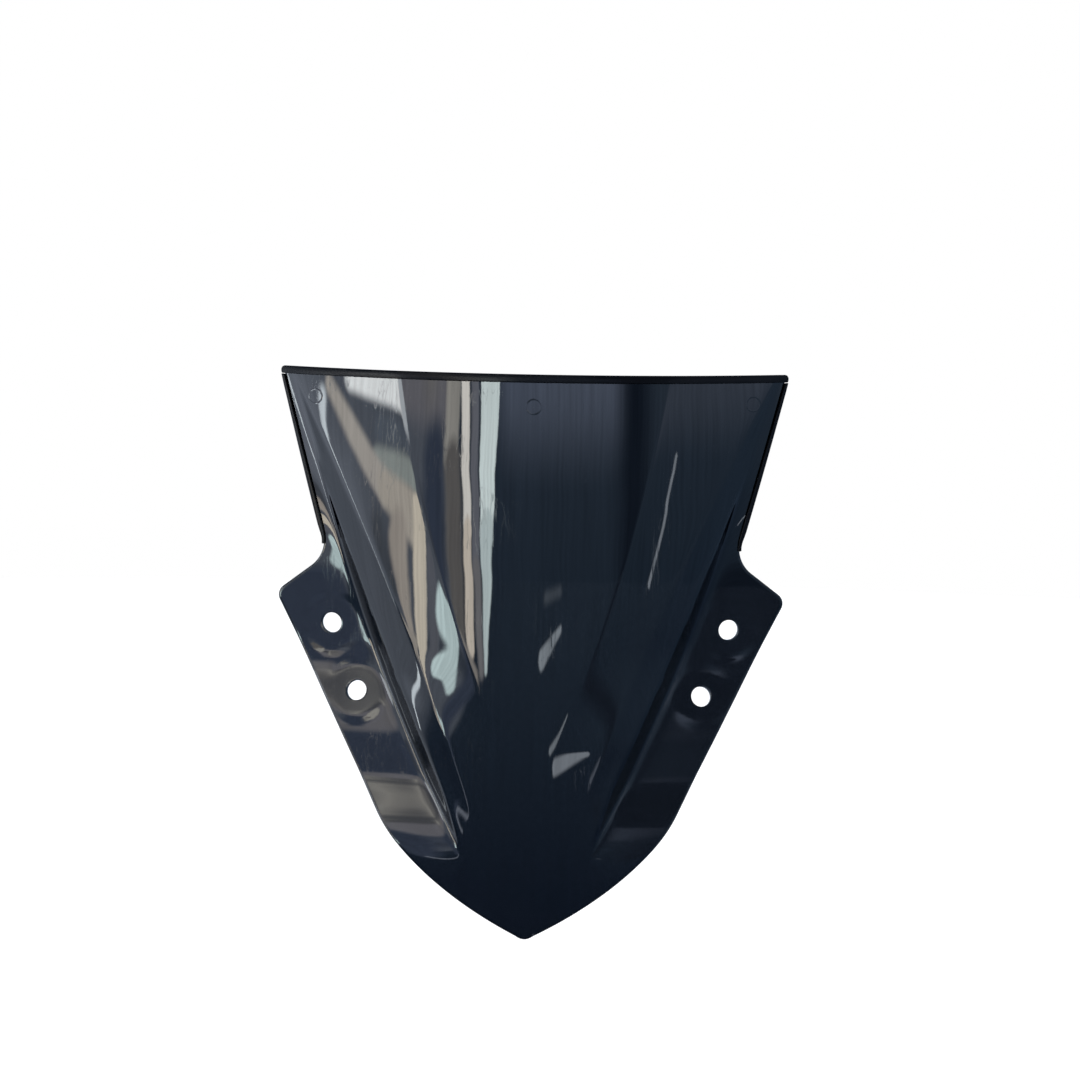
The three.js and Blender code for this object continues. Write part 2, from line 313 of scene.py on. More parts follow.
# ---- The flat blank --------------------------------------------------------------------------
TIP_TURN = math.radians(58)  # the last row follows the round tip over this angle each way
LAST_DROP = TIP_DROP - TIP_RADIUS + (TIP_RADIUS - RIM_INSET) * math.cos(TIP_TURN)
TIP_SAG_RUN = 9.0  # the rows above the last one curve gradually over this drop
BOW_RUN = (0.0, 60.0)  # the rows lose the top edge's bow over this span of drop
BAY_LOOPS = (10, 12, 5, 6, 20)  # even loops between the centre, the creases and the rim
CREASE_STEPS = (0.45, 1.1, 2.2)  # closer loops on both sides of each crease
CREASE_STEP_SHARE = 0.12  # a close loop's most share of a narrow bay
BRIDGE_REACH = 6.0  # a hole's ring is bridged from this far in front, so the loops pair up squarely
# Towards the chin the columns leave the creases, and keep some room between them
WING_ROOM = 3.0
TOP_SHARE = 0.8
INNER_SHARE_LEAST = 0.25
INNER_SHARE_MOST = 0.6
OUTER_SHARE_LEAST = 0.62
OUTER_ROOM = 0.6
INNER_OF_OUTER = 0.8
RISER_ROOM = 0.9
RISER_SHARE = 0.03
# Drops between which rows are evenly spaced, and how many: closer where the outline turns
ROW_STRETCHES = (
    (TOP_DROP + RIM_INSET, 98.0, 40),
    (98.0, 152.0, 44),
    (152.0, 270.0, 54),
    (270.0, 338.0, 36),
    (338.0, LAST_DROP, 10),
)
# Vertices closer than these are merged
PANEL_MERGE = 0.00002
TRIM_MERGE = 0.0001


def bay_stops(low, high, loops, close_low, close_high):
    """Column places across one bay, closer together where it meets a crease."""
    share = (high - low) * CREASE_STEP_SHARE
    steps = [min(step, share * (i + 1)) for i, step in enumerate(CREASE_STEPS)]
    stops = [low + step for step in steps] if close_low else []
    ends = [high - step for step in reversed(steps)] if close_high else []
    first = stops[-1] if stops else low
    last = ends[0] if ends else high
    stops += [first + (last - first) * i / (loops + 1) for i in range(1, loops + 1)]
    return stops + ends + [high]


def column_stops(drop, limit):
    """Places of all grid columns on one half at a drop, from the centre to the grid's edge."""
    top = min(riser_top(drop), max(limit - WING_ROOM, limit * TOP_SHARE))
    outer = min(max(line_at(OUTER_CREASE, drop), top * OUTER_SHARE_LEAST), top - OUTER_ROOM)
    inner = min(max(line_at(INNER_CREASE, drop), top * INNER_SHARE_LEAST), top * INNER_SHARE_MOST)
    inner = min(inner, outer * INNER_OF_OUTER)
    foot = top + max(riser_width(drop), min(RISER_ROOM, limit * RISER_SHARE))
    lines = (0.0, inner, outer, top, foot, limit)
    stops = [0.0]
    for bay, loops in enumerate(BAY_LOOPS):
        stops += bay_stops(lines[bay], lines[bay + 1], loops, bay > 0, bay < len(BAY_LOOPS) - 1)
    return stops


def row_drops():
    drops = [np.linspace(low, high, count, endpoint=False) for low, high, count in ROW_STRETCHES]
    return np.concatenate((*drops, (LAST_DROP,)))


def blank_grid(bm):
    """A grid in the planform of the moulding, its columns running along the creases."""
    points = edge_points(RIM_INSET)
    drops = row_drops()
    rows = [column_stops(drop, float(edge_x(points, drop))) for drop in drops]
    half = len(rows[0]) - 1
    made = bmesh.ops.create_grid(bm, x_segments=2 * half, y_segments=len(drops) - 1, size=1.0)
    for vert in made["verts"]:
        column = round(vert.co.x * half)
        row = round((1.0 - vert.co.y) / 2.0 * (len(drops) - 1))
        x = math.copysign(rows[row][abs(column)], column)
        hang = TOP_BOW * (1.0 - (x / CORNER_X) ** 2) * float(ending(BOW_RUN, drops[row]))
        turn = TIP_TURN * x / rows[row][-1]
        round_tip = (TIP_RADIUS - RIM_INSET) * (math.cos(turn) - math.cos(TIP_TURN))
        sag = round_tip * float(smooth(LAST_DROP - TIP_SAG_RUN, LAST_DROP, drops[row]))
        vert.co = (x, 0.0, -drops[row] - hang - sag)


def seat_ellipse(x, drop, radius, count):
    """A circle square to the face at a place, seen in the flat blank."""
    across, down = gradient(face_depth, x, drop)
    normal = Vector((-across, 1.0, down)).normalized()
    first = normal.cross(Vector((0.0, 0.0, 1.0))).normalized()
    second = first.cross(normal).normalized()
    for i in range(count):
        angle = 2.0 * math.pi * i / count
        arm = first * math.cos(angle) + second * math.sin(angle)
        yield Vector((x + arm.x * radius, 0.0, -drop + arm.z * radius))


def cut_round(bm, x, drop, radius, behind, reach):
    """Opens a sheet of the blank with a round hole and returns the hole's edges."""
    middle = Vector((x, behind, -drop))
    patch = [
        face
        for face in bm.faces
        if abs(face.calc_center_median().y - behind) < SHEET_TOLERANCE
        and (face.calc_center_median() - middle).length < reach
    ]
    inside = set(patch)
    border = [e for face in patch for e in face.edges if any(f not in inside for f in e.link_faces)]
    border = list(dict.fromkeys(border))
    bmesh.ops.delete(bm, geom=patch, context="FACES")
    ahead = Vector((0.0, behind - BRIDGE_REACH, 0.0))
    ring = [bm.verts.new(co + ahead) for co in seat_ellipse(x, drop, radius, len(border))]
    edges = [bm.edges.new((ring[i - 1], ring[i])) for i in range(len(ring))]
    bmesh.ops.bridge_loops(bm, edges=border + edges)
    bmesh.ops.translate(bm, verts=ring, vec=(0.0, BRIDGE_REACH, 0.0))
    return edges


def ring_order(edges):
    """The vertices of a closed ring of edges, in order."""
    links = {}
    for edge in edges:
        for vert in edge.verts:
            links.setdefault(vert, []).append(edge.other_vert(vert))
    first = edges[0].verts[0]
    order = [first]
    last = None
    while True:
        step = next(v for v in links[order[-1]] if v is not last)
        if step is first:
            return order
        last = order[-1]
        order.append(step)


def roll_edge(bm, edges, profile, sign):
    """Extrudes a ring of edges through a profile of (outwards, behind) steps."""
    order = ring_order(edges)
    base = [vert.co.copy() for vert in order]
    size = len(order)
    away = []
    for i in range(size):
        along = base[(i + 1) % size] - base[i - 1]
        away.append(Vector((along.z, 0.0, -along.x)).normalized())
    centre = sum(base, Vector()) / size
    turn = sum((base[i] - centre).dot(away[i]) for i in range(size))
    away = [arm * math.copysign(1.0, turn) * sign for arm in away]
    ring = order
    for out, behind in profile:
        loop = [bm.edges.get((ring[i - 1], ring[i])) for i in range(size)]
        made = bmesh.ops.extrude_edge_only(bm, edges=loop)
        fresh = {e for e in made["geom"] if isinstance(e, bmesh.types.BMVert)}
        ring = [next(e.other_vert(v) for e in v.link_edges if e.other_vert(v) in fresh) for v in ring]
        for i, vert in enumerate(ring):
            vert.co = base[i] + away[i] * out + Vector((0.0, behind - base[i].y, 0.0))
    return ring


def rim_profile():
    """Half-round rim from the front sheet to the back one."""
    bulge = RIM_INSET - RIM_SUPPORT
    arc = [math.pi * i / RIM_STEPS for i in range(1, RIM_STEPS)]
    steps = [(RIM_SUPPORT, 0.0)]
    steps += [(RIM_SUPPORT + bulge * math.sin(a), WALL / 2.0 * (1.0 - math.cos(a))) for a in arc]
    return steps + [(RIM_SUPPORT, WALL), (0.0, WALL)]


def hole_profile():
    """A drilled hole with lightly broken edges, from the front sheet to the back one."""
    arc = [math.pi / 2.0 * i / HOLE_EDGE_STEPS for i in range(1, HOLE_EDGE_STEPS + 1)]
    front = [
        (HOLE_SUPPORT + HOLE_EDGE * math.sin(a), HOLE_EDGE * (1.0 - math.cos(a))) for a in arc
    ]
    back = [(out, WALL - behind) for out, behind in reversed(front)]
    return [(HOLE_SUPPORT, 0.0)] + front + back + [(HOLE_SUPPORT, WALL), (0.0, WALL)]


def ejector_profile():
    """A shallow round step sunk in the back sheet."""
    depth = WALL - EJECTOR_DEPTH
    foot = EJECTOR_LAND + EJECTOR_WALL
    return [(EJECTOR_LAND, WALL), (foot, depth), (foot + EJECTOR_FLOOR, depth)]


def finish_mesh(bm, name, material):
    bmesh.ops.recalc_face_normals(bm, faces=bm.faces)
    for face in bm.faces:
        face.smooth = True
    mesh = bpy.data.meshes.new(name)
    bm.to_mesh(mesh)
    bm.free()
    mesh.materials.append(material)
    piece = bpy.data.objects.new(name, mesh)
    bpy.context.collection.objects.link(piece)
    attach(piece, "root")
    return piece


def make_panel(material):
    bm = bmesh.new()
    blank_grid(bm)
    outer = [edge for edge in bm.edges if edge.is_boundary]
    holes = []
    for x, drop in FIXINGS:
        for side in (-1.0, 1.0):
            radius = HOLE_RADIUS + HOLE_EDGE + HOLE_SUPPORT
            holes.append(cut_round(bm, side * x, drop, radius, 0.0, HOLE_PATCH))
    back = bmesh.ops.duplicate(bm, geom=bm.verts[:] + bm.edges[:] + bm.faces[:])["geom"]
    for item in back:
        if isinstance(item, bmesh.types.BMVert):
            item.co.y = WALL
    roll_edge(bm, outer, rim_profile(), 1.0)
    for ring in holes:
        roll_edge(bm, ring, hole_profile(), -1.0)
    for x, drop in EJECTORS:
        ring = cut_round(bm, x, drop, EJECTOR_RADIUS + EJECTOR_LAND, WALL, EJECTOR_PATCH)
        bm.faces.new(roll_edge(bm, ring, ejector_profile(), -1.0))
    bmesh.ops.remove_doubles(bm, verts=bm.verts, dist=PANEL_MERGE)
    form(bm)
    panel = finish_mesh(bm, "smoked_screen", material)
    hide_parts("screen_panel")


# ---- Edge trims ------------------------------------------------------------------------------
def turned(corner, toward_a, toward_b, radius, steps=4):
    """Points that round one corner of a section, from the side of a to the side of b."""
    arc = fillet(Vector(toward_a), Vector(corner), Vector(toward_b), radius, steps)
    return [(point.x, point.y) for point in arc]


def trim_section(cover, shrink=0.0, cut=0.0, solid=False):
    """U-section as (cover, behind) points: the lips reach in over both faces of the moulding.

    "cut" takes its outer edge back, and a solid section has no slot.
    """
    front, back = -TRIM_PROUD + shrink, WALL + TRIM_PROUD - shrink
    edge, lip = -TRIM_PROUD + shrink + cut, cover - shrink
    slot_front, slot_back = -TRIM_GAP - shrink, WALL + TRIM_GAP + shrink
    floor = lip - SLOT_CLOSED if solid else -TRIM_GAP - shrink
    points = turned((lip, front), (lip, slot_front), (edge, front), LIP_ROUNDING)
    points += turned((edge, front), (lip, front), (edge, back), TRIM_ROUNDING)
    points += turned((edge, back), (edge, front), (lip, back), TRIM_ROUNDING)
    points += turned((lip, back), (edge, back), (lip, slot_back), LIP_ROUNDING)
    return points + [(lip, slot_back), (floor, slot_back), (floor, slot_front), (lip, slot_front)]


def sweep_trim(name, stations, place, material, replaced):
    """Sweeps the section through stations of (along, section settings); place() sets each point."""
    sections = [trim_section(*settings) for _, *settings in stations]
    count = len(sections[0])
    bm = bmesh.new()
    made = bmesh.ops.create_grid(bm, x_segments=len(stations) - 1, y_segments=count, size=1.0)
    for vert in made["verts"]:
        i = round((vert.co.x + 1.0) / 2.0 * (len(stations) - 1))
        j = round((vert.co.y + 1.0) / 2.0 * count) % count
        vert.co = place(stations[i][0], *sections[i][j])
    bmesh.ops.remove_doubles(bm, verts=bm.verts, dist=TRIM_MERGE)
    bmesh.ops.holes_fill(bm, edges=[edge for edge in bm.edges if edge.is_boundary], sides=0)
    form(bm)
    piece = finish_mesh(bm, name, material)
    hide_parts(replaced)


def make_top_trim(material):
    """The top trim ends in solid, rounded corners that cap the corners of the moulding."""
    side_lean = (CORNER_X - NOTCH.x) / (NOTCH.y - TOP_DROP)

    def place(along, cover, behind):
        drop = float(top_edge(along)) + cover
        x = along * (1.0 - side_lean * (drop - TOP_DROP) / CORNER_X)
        return Vector((x, behind, -drop))

    reach = CORNER_X + TOP_TRIM_REACH
    radius = CORNER_RADIUS + TRIM_PROUD
    stations = []
    for i in range(TRIM_CORNER_STEPS + 1):
        turn = math.radians(90.0 * i / TRIM_CORNER_STEPS)
        from_end = radius * (1.0 - math.cos(turn))
        cut = TOP_TRIM_CUT + radius * (1.0 - math.sin(turn))
        solid = from_end < TRIM_WALL
        shrink = TRIM_CORNER_SHRINK * (1.0 - math.sin(turn)) ** 2
        stations.append((reach - from_end, TOP_TRIM_COVER, shrink, cut, solid))
    middle = reach - radius - TRIM_CORNER_CLEARANCE
    run = [
        (middle * (i / TOP_TRIM_HALF_STEPS - 1.0), TOP_TRIM_COVER, 0.0, TOP_TRIM_CUT)
        for i in range(2 * TOP_TRIM_HALF_STEPS + 1)
    ]
    left = [(-along, *settings) for along, *settings in stations]
    sweep_trim("top_edge_strip", left + run + stations[::-1], place, material, "top_edge_trim")


def side_trim_steps(low, high):
    """Places along a side trim and their shrinks, with both ends slightly rounded off."""
    steps = [(low + at, shrink) for at, shrink in SIDE_TRIM_ENDS]
    first = low + END_CLEARANCE
    run = high - low - 2.0 * END_CLEARANCE
    steps += [(first + run * i / SIDE_TRIM_STEPS, 0.0) for i in range(SIDE_TRIM_STEPS + 1)]
    return steps + [(high - at, shrink) for at, shrink in reversed(SIDE_TRIM_ENDS)]


def make_side_trim(side, name, material, replaced):
    points = edge_points(0.0)
    start = TOP_DROP + TOP_TRIM_COVER + TRIM_BUTT_GAP

    def place(along, cover, behind):
        x = float(edge_x(points, along))
        ahead = float(edge_x(points, along + EDGE_STEP))
        arm = inward(Vector((ahead - x, EDGE_STEP))) * cover
        squared = float(smooth(start, start + SQUARE_RUN, along))
        return Vector((side * (x + arm.x), behind, -(along + arm.y * squared)))

    stations = []
    for at, shrink in side_trim_steps(start, SIDE_TRIM_END_DROP):
        share = (at - start) / (SIDE_TRIM_END_DROP - start)
        cover = SIDE_TRIM_COVER_TOP + (SIDE_TRIM_COVER_LOW - SIDE_TRIM_COVER_TOP) * share
        tail = float(smooth(SIDE_TRIM_END_DROP - SIDE_TRIM_TAIL, SIDE_TRIM_END_DROP, at))
        stations.append((at, cover, max(shrink, TAIL_THINNING * tail), TAIL_CUT * tail))
    sweep_trim(name, stations, place, material, replaced)


# ---- Node helpers ----------------------------------------------------------------------------
def node(tree, kind, **settings):
    """Adds a node; in_Name=value sets an input, and any other name sets a property."""
    made = tree.nodes.new(kind)
    for key, value in settings.items():
        if key.startswith("in_"):
            made.inputs[key[3:].replace("_", " ")].default_value = value
        else:
            setattr(made, key, value)
    return made


def math_node(tree, operation, first, second=None, third=None, clamp=False):
    """Adds a Math node on numbers or sockets, and returns its output."""
    made = tree.nodes.new("ShaderNodeMath")
    made.operation = operation
    made.use_clamp = clamp
    for socket, value in zip(made.inputs, (first, second, third)):
        if value is None:
            continue
        if isinstance(value, (int, float)):
            socket.default_value = value
        else:
            tree.links.new(value, socket)
    return made.outputs[0]


def new_group(name, inputs, outputs):
    """An empty shared effect with its named inputs and outputs."""
    group = bpy.data.node_groups.new(name, "ShaderNodeTree")
    for label, kind, value in inputs:
        socket = group.interface.new_socket(label, in_out="INPUT", socket_type=kind)
        if value is not None:
            socket.default_value = value
    for label, kind in outputs:
        group.interface.new_socket(label, in_out="OUTPUT", socket_type=kind)
    return group, group.nodes.new("NodeGroupInput"), group.nodes.new("NodeGroupOutput")


# Hair scratches run two ways across the surface: the turn of each set, and its stretch
SCRATCH_SETS = ((0.5, 26.0), (-0.9, 34.0))
SCRATCH_WIDTH = 0.006
SCRATCH_BREAKS_SCALE = 22.0
SCRATCH_BREAKS = 0.56
SPECK_SIZE = 0.10
DUST_PATCH_SCALE = 9.0
DUST_PATCHES = 0.55


def fine_scratches_group():
    """Hair scratches and dust as masks over the surface, in object coordinates."""
    group, given, result = new_group(
        "fine_scratches_and_dust",
        (("Scratch Scale", "NodeSocketFloat", 60.0), ("Dust Scale", "NodeSocketFloat", 900.0)),
        (("Scratches", "NodeSocketFloat"), ("Dust", "NodeSocketFloat")),
    )
    link = group.links.new
    place = group.nodes.new("ShaderNodeTexCoord").outputs["Object"]
    lines = []
    for turn, stretch in SCRATCH_SETS:
        mapping = node(group, "ShaderNodeMapping")
        mapping.inputs["Rotation"].default_value = (0.0, turn, 0.0)
        mapping.inputs["Scale"].default_value = (stretch, stretch, 1.0)
        link(place, mapping.inputs["Vector"])
        noise = node(group, "ShaderNodeTexNoise", in_Detail=2.0, in_Distortion=0.4)
        link(given.outputs["Scratch Scale"], noise.inputs["Scale"])
        link(mapping.outputs["Vector"], noise.inputs["Vector"])
        lines.append(math_node(group, "COMPARE", noise.outputs[0], 0.5, SCRATCH_WIDTH))
    broken = node(group, "ShaderNodeTexNoise", in_Scale=SCRATCH_BREAKS_SCALE, in_Detail=1.0)
    link(place, broken.inputs["Vector"])
    some = math_node(group, "GREATER_THAN", broken.outputs[0], SCRATCH_BREAKS)
    both = math_node(group, "MAXIMUM", lines[0], lines[1])
    link(math_node(group, "MULTIPLY", both, some), result.inputs["Scratches"])
    specks = node(group, "ShaderNodeTexVoronoi", feature="F1")
    link(place, specks.inputs["Vector"])
    link(given.outputs["Dust Scale"], specks.inputs["Scale"])
    speck = math_node(group, "LESS_THAN", specks.outputs["Distance"], SPECK_SIZE)
    settle = node(group, "ShaderNodeTexNoise", in_Scale=DUST_PATCH_SCALE, in_Detail=3.0)
    link(place, settle.inputs["Vector"])
    where = math_node(group, "GREATER_THAN", settle.outputs[0], DUST_PATCHES)
    link(math_node(group, "MULTIPLY", speck, where), result.inputs["Dust"])
    return group


def witness_ring_group():
    """Faint rings round the ejector marks, in object coordinates."""
    group, given, result = new_group(
        "ejector_witness_rings",
        (
            ("Radius", "NodeSocketFloat", EJECTOR_RADIUS * MM),
            ("Line Width", "NodeSocketFloat", 0.0005),
        ),
        (("Ring", "NodeSocketFloat"), ("Disc", "NodeSocketFloat")),
    )
    link = group.links.new
    place = group.nodes.new("ShaderNodeTexCoord").outputs["Object"]
    split = group.nodes.new("ShaderNodeSeparateXYZ")
    link(place, split.inputs[0])
    nearest = None
    for x, drop in EJECTORS:
        across = math_node(group, "SUBTRACT", split.outputs["X"], x * MM)
        down = math_node(group, "SUBTRACT", split.outputs["Z"], (HOLE_DROP - drop) * MM)
        square = math_node(group, "MULTIPLY", across, across)
        away = math_node(group, "SQRT", math_node(group, "MULTIPLY_ADD", down, down, square))
        nearest = away if nearest is None else math_node(group, "MINIMUM", nearest, away)
    past_ring = math_node(group, "SUBTRACT", nearest, given.outputs["Radius"])
    from_ring = math_node(group, "ABSOLUTE", past_ring)
    ratio = math_node(group, "DIVIDE", from_ring, given.outputs["Line Width"])
    link(math_node(group, "SUBTRACT", 1.0, ratio, clamp=True), result.inputs["Ring"])
    link(math_node(group, "LESS_THAN", nearest, given.outputs["Radius"]), result.inputs["Disc"])
    return group


def varied_tone_group():
    """Soft blotches of tone between two colours, in object coordinates."""
    group, given, result = new_group(
        "varied_tone",
        (
            ("Dark", "NodeSocketColor", (0.0, 0.0, 0.0, 1.0)),
            ("Light", "NodeSocketColor", (1.0, 1.0, 1.0, 1.0)),
            ("Scale", "NodeSocketFloat", 12.0),
        ),
        (("Color", "NodeSocketColor"), ("Mask", "NodeSocketFloat")),
    )
    link = group.links.new
    place = group.nodes.new("ShaderNodeTexCoord").outputs["Object"]
    noise = node(group, "ShaderNodeTexNoise", in_Detail=3.0, in_Roughness=0.5)
    link(place, noise.inputs["Vector"])
    link(given.outputs["Scale"], noise.inputs["Scale"])
    mask = math_node(group, "MULTIPLY_ADD", noise.outputs[0], 2.0, -0.5, clamp=True)
    mix = node(group, "ShaderNodeMix", data_type="RGBA")
    link(mask, mix.inputs["Factor"])
    link(given.outputs["Dark"], mix.inputs["A"])
    link(given.outputs["Light"], mix.inputs["B"])
    link(mix.outputs["Result"], result.inputs["Color"])
    link(mask, result.inputs["Mask"])
    return group


def use_group(tree, group, **values):
    """Places a shared effect with its own values; an underscore in a name stands for a space."""
    made = tree.nodes.new("ShaderNodeGroup")
    made.node_tree = group
    for key, value in values.items():
        made.inputs[key.replace("_", " ")].default_value = value
    return made


def new_material(name):
    material = bpy.data.materials.new(name)
    material.use_nodes = True
    tree = material.node_tree
    return material, tree, tree.nodes["Principled BSDF"]


SMOKE_DARK = (0.0014, 0.0019, 0.0030, 1.0)
SMOKE_LIGHT = (0.0024, 0.0030, 0.0044, 1.0)
DUST_COLOUR = (0.010, 0.012, 0.015, 1.0)
SMOKE_IOR = 1.585
SMOKE_ROUGHNESS = 0.012
SMOKE_HAZE = 0.012  # extra roughness in the light blotches
SCRATCH_ROUGHNESS = 0.10
DUST_ROUGHNESS = 0.12
FLOW_SCALE = 11.0  # slow waves left by the moulding
FLOW_DEPTH = 0.0002
RING_RELIEF = 0.13
DISC_RELIEF = 0.06

TRIM_DARK = (0.0012, 0.0014, 0.0024, 1.0)
TRIM_LIGHT = (0.0028, 0.0030, 0.0044, 1.0)
TRIM_SPECULAR = 0.14
TRIM_ROUGHNESS = 0.18
TRIM_BLOTCH_ROUGHNESS = 0.10
TRIM_DUST_ROUGHNESS = 0.25
TRIM_GRAIN_SCALE = 1400.0
TRIM_GRAIN_DEPTH = 0.0001


def smoked_polycarbonate(scratches, tone, witness):
    """Dark transparent plastic, polished, with hair scratches, dust and faint moulding marks."""
    material, tree, shader = new_material("smoked_polycarbonate")
    link = tree.links.new
    shader.inputs["Transmission Weight"].default_value = 1.0
    shader.inputs["IOR"].default_value = SMOKE_IOR
    tint = use_group(tree, tone, Dark=SMOKE_DARK, Light=SMOKE_LIGHT, Scale=9.0)
    marks = use_group(tree, scratches, Scratch_Scale=5.0, Dust_Scale=420.0)
    dusty = node(tree, "ShaderNodeMix", data_type="RGBA")
    dusty.inputs["B"].default_value = DUST_COLOUR
    link(marks.outputs["Dust"], dusty.inputs["Factor"])
    link(tint.outputs["Color"], dusty.inputs["A"])
    link(dusty.outputs["Result"], shader.inputs["Base Color"])
    rough = math_node(tree, "MULTIPLY_ADD", tint.outputs["Mask"], SMOKE_HAZE, SMOKE_ROUGHNESS)
    rough = math_node(tree, "MULTIPLY_ADD", marks.outputs["Scratches"], SCRATCH_ROUGHNESS, rough)
    rough = math_node(tree, "MULTIPLY_ADD", marks.outputs["Dust"], DUST_ROUGHNESS, rough)
    link(rough, shader.inputs["Roughness"])
    place = tree.nodes.new("ShaderNodeTexCoord").outputs["Object"]
    flow = node(tree, "ShaderNodeTexNoise", in_Scale=FLOW_SCALE, in_Detail=1.0)
    link(place, flow.inputs["Vector"])
    rings = use_group(tree, witness)
    relief = math_node(tree, "MULTIPLY_ADD", rings.outputs["Ring"], RING_RELIEF, flow.outputs[0])
    relief = math_node(tree, "MULTIPLY_ADD", rings.outputs["Disc"], DISC_RELIEF, relief)
    bump = node(tree, "ShaderNodeBump", in_Strength=1.0, in_Distance=FLOW_DEPTH)
    link(relief, bump.inputs["Height"])
    link(bump.outputs["Normal"], shader.inputs["Normal"])
    return material


def black_trim(scratches, tone):
    """Black push-on strip with a fine grain and a little dust."""
    material, tree, shader = new_material("black_edge_trim")
    link = tree.links.new
    colour = use_group(tree, tone, Dark=TRIM_DARK, Light=TRIM_LIGHT, Scale=40.0)
    marks = use_group(tree, scratches, Scratch_Scale=14.0, Dust_Scale=700.0)
    link(colour.outputs["Color"], shader.inputs["Base Color"])
    shader.inputs["Specular IOR Level"].default_value = TRIM_SPECULAR
    mask = colour.outputs["Mask"]
    rough = math_node(tree, "MULTIPLY_ADD", mask, TRIM_BLOTCH_ROUGHNESS, TRIM_ROUGHNESS)
    rough = math_node(tree, "MULTIPLY_ADD", marks.outputs["Dust"], TRIM_DUST_ROUGHNESS, rough)
    link(rough, shader.inputs["Roughness"])
    place = tree.nodes.new("ShaderNodeTexCoord").outputs["Object"]
    grain = node(tree, "ShaderNodeTexNoise", in_Scale=TRIM_GRAIN_SCALE, in_Detail=2.0)
    link(place, grain.inputs["Vector"])
    bump = node(tree, "ShaderNodeBump", in_Strength=0.12, in_Distance=TRIM_GRAIN_DEPTH)
    link(grain.outputs[0], bump.inputs["Height"])
    link(bump.outputs["Normal"], shader.inputs["Normal"])
    return material


# ---- Room, light and camera ------------------------------------------------------------------
# Directions are (azimuth, elevation) in degrees: azimuth 0 is straight ahead of the screen's
# front, and left of it is negative. Colours are radiance, where the white ground is 1.
WALL_TONES = (
    (-45, (0.035, 0.055, 0.100)),
    (-26, (0.055, 0.100, 0.200)),
    (-14, (0.120, 0.200, 0.330)),
    (-4, (0.170, 0.270, 0.420)),
    (6, (0.230, 0.340, 0.510)),
    (15, (0.300, 0.420, 0.600)),
    (17, (0.110, 0.150, 0.220)),
    (40, (0.300, 0.380, 0.500)),
)
